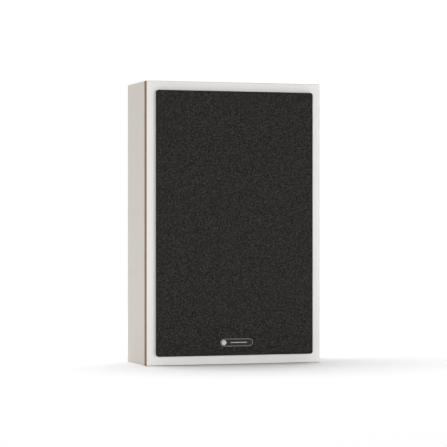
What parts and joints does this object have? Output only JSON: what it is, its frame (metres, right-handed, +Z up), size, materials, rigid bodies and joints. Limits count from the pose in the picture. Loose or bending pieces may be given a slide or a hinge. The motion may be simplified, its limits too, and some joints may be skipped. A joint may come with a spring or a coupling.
{
  "type": "bookshelf speaker",
  "caption": "Slim white rectangular loudspeaker with a brown board edge, a dark cloth grille, woofer, tweeter, crossover and rear terminals.",
  "frame": {"origin": "centre of the overall box, on the surface the cabinet stands on", "axes": "+Z up along the cabinet's height, +X to the right seen from the front, +Y from the grille to the back"},
  "size_m": [0.22, 0.0976, 0.34],
  "materials": {
    "white_panel": "satin white film over fibreboard",
    "white_front": "satin white laminate",
    "black_panel": "matt black film over fibreboard",
    "raw_board": "bare fibreboard",
    "edge_board": "brown fibreboard edge, sealed",
    "wadding": "polyester wadding",
    "bumper_rubber": "moulded rubber",
    "magnet": "nickel-plated neodymium",
    "zinc_steel": "zinc-plated steel",
    "black_screw": "black oxide",
    "black_moulding": "spark-eroded black ABS",
    "foam": "closed-cell foam",
    "brass_nut": "turned brass",
    "plated_brass": "gold-plated brass",
    "circuit_board": "green solder mask",
    "copper_coil": "enamelled copper wire",
    "capacitor_film": "yellow polyester wrap",
    "resistor_ceramic": "white ceramic case",
    "wire_sleeve": "PVC insulation",
    "basket_metal": "black powder-coated die casting",
    "driver_trim": "fine-textured black moulding",
    "surround_rubber": "butyl rubber",
    "spider_cloth": "resin-treated cloth",
    "ferrite": "ground ferrite",
    "tag_strip": "phenolic board with tinned tags",
    "guard_steel": "black perforated steel",
    "surround_fabric": "impregnated cloth",
    "grille_moulding": "black moulding",
    "grille_cloth": "charcoal woven polyester",
    "badge_metal": "satin aluminium with a dark field",
    "cone_metal": "anodised aluminium",
    "dome_metal": "anodised aluminium",
    "red_plastic": "moulded red acrylic",
    "black_plastic": "moulded black acrylic"
  },
  "bodies": {
    "cabinet": {"left_side_panel": "white_panel", "right_side_panel": "white_panel", "top_panel": "white_panel", "bottom_panel": "white_panel", "back_panel": "black_panel", "inner_baffle": "raw_board", "edge_board": "edge_board", "front_laminate": "white_front", "cabinet_brace": "raw_board", "damping_pads": "wadding", "wall_bumpers": "bumper_rubber", "baffle_magnets": "magnet", "keyhole_plates": "zinc_steel", "rear_screws": "black_screw", "terminal_cup": "black_moulding", "terminal_gasket": "foam", "post_nuts": "brass_nut", "red_post": "plated_brass", "black_post": "plated_brass", "crossover_board": "circuit_board", "board_fixings": "zinc_steel", "woofer_inductor": "copper_coil", "tweeter_inductor": "copper_coil", "capacitors": "capacitor_film", "resistors": "resistor_ceramic", "wiring_loom": "wire_sleeve", "woofer_basket": "basket_metal", "woofer_gasket": "foam", "woofer_trim_ring": "driver_trim", "woofer_surround": "surround_rubber", "woofer_spider": "spider_cloth", "woofer_top_plate": "zinc_steel", "woofer_magnet": "ferrite", "woofer_yoke": "zinc_steel", "woofer_tags": "tag_strip", "woofer_screws": "black_screw", "tweeter_faceplate": "driver_trim", "tweeter_gasket": "foam", "tweeter_guard": "guard_steel", "tweeter_surround": "surround_fabric", "tweeter_top_plate": "zinc_steel", "tweeter_magnet": "ferrite", "tweeter_yoke": "zinc_steel", "tweeter_tags": "tag_strip", "tweeter_screws": "black_screw"},
    "grille": {"grille_frame": "grille_moulding", "grille_cloth": "grille_cloth", "grille_magnets": "magnet", "badge_plate": "badge_metal"},
    "woofer_cone": {"woofer_cone": "cone_metal", "woofer_dust_cap": "cone_metal", "woofer_voice_coil": "copper_coil"},
    "tweeter_dome": {"tweeter_dome": "dome_metal", "tweeter_voice_coil": "copper_coil"},
    "red_nut": {"red_nut": "plated_brass"},
    "red_cap": {"red_cap": "red_plastic"},
    "black_nut": {"black_nut": "plated_brass"},
    "black_cap": {"black_cap": "black_plastic"}
  },
  "joints": [
    {"name": "grille_pull", "type": "slide", "parent": "cabinet", "child": "grille", "axis": [0, -1, 0], "range_m": [0, 0.06]},
    {"name": "woofer_excursion", "type": "slide", "parent": "cabinet", "child": "woofer_cone", "axis": [0, -1, 0], "range_m": [-0.004, 0.004], "stiffness_N_per_m": 1000, "deforming": ["woofer_surround", "woofer_spider"]},
    {"name": "tweeter_excursion", "type": "slide", "parent": "cabinet", "child": "tweeter_dome", "axis": [0, -1, 0], "range_m": [-0.0003, 0.0003], "stiffness_N_per_m": 1000, "deforming": ["tweeter_surround"]},
    {"name": "red_cap_travel", "type": "slide", "parent": "cabinet", "child": "red_nut", "axis": [0, 1, 0], "range_m": [0, 0.006]},
    {"name": "red_cap_turn", "type": "hinge", "parent": "red_nut", "child": "red_cap", "pos_m": [-0.016, 0.02835, 0.205], "axis": [0, 1, 0], "range_deg": [0, 1728.5]},
    {"name": "black_cap_travel", "type": "slide", "parent": "cabinet", "child": "black_nut", "axis": [0, 1, 0], "range_m": [0, 0.006]},
    {"name": "black_cap_turn", "type": "hinge", "parent": "black_nut", "child": "black_cap", "pos_m": [0.016, 0.02835, 0.205], "axis": [0, 1, 0], "range_deg": [0, 1728.5]}
  ],
  "couplings": [
    {"joint": "red_cap_turn", "follows": "red_cap_travel", "rad_per_m": 5026.5},
    {"joint": "black_cap_turn", "follows": "black_cap_travel", "rad_per_m": 5026.5}
  ]
}
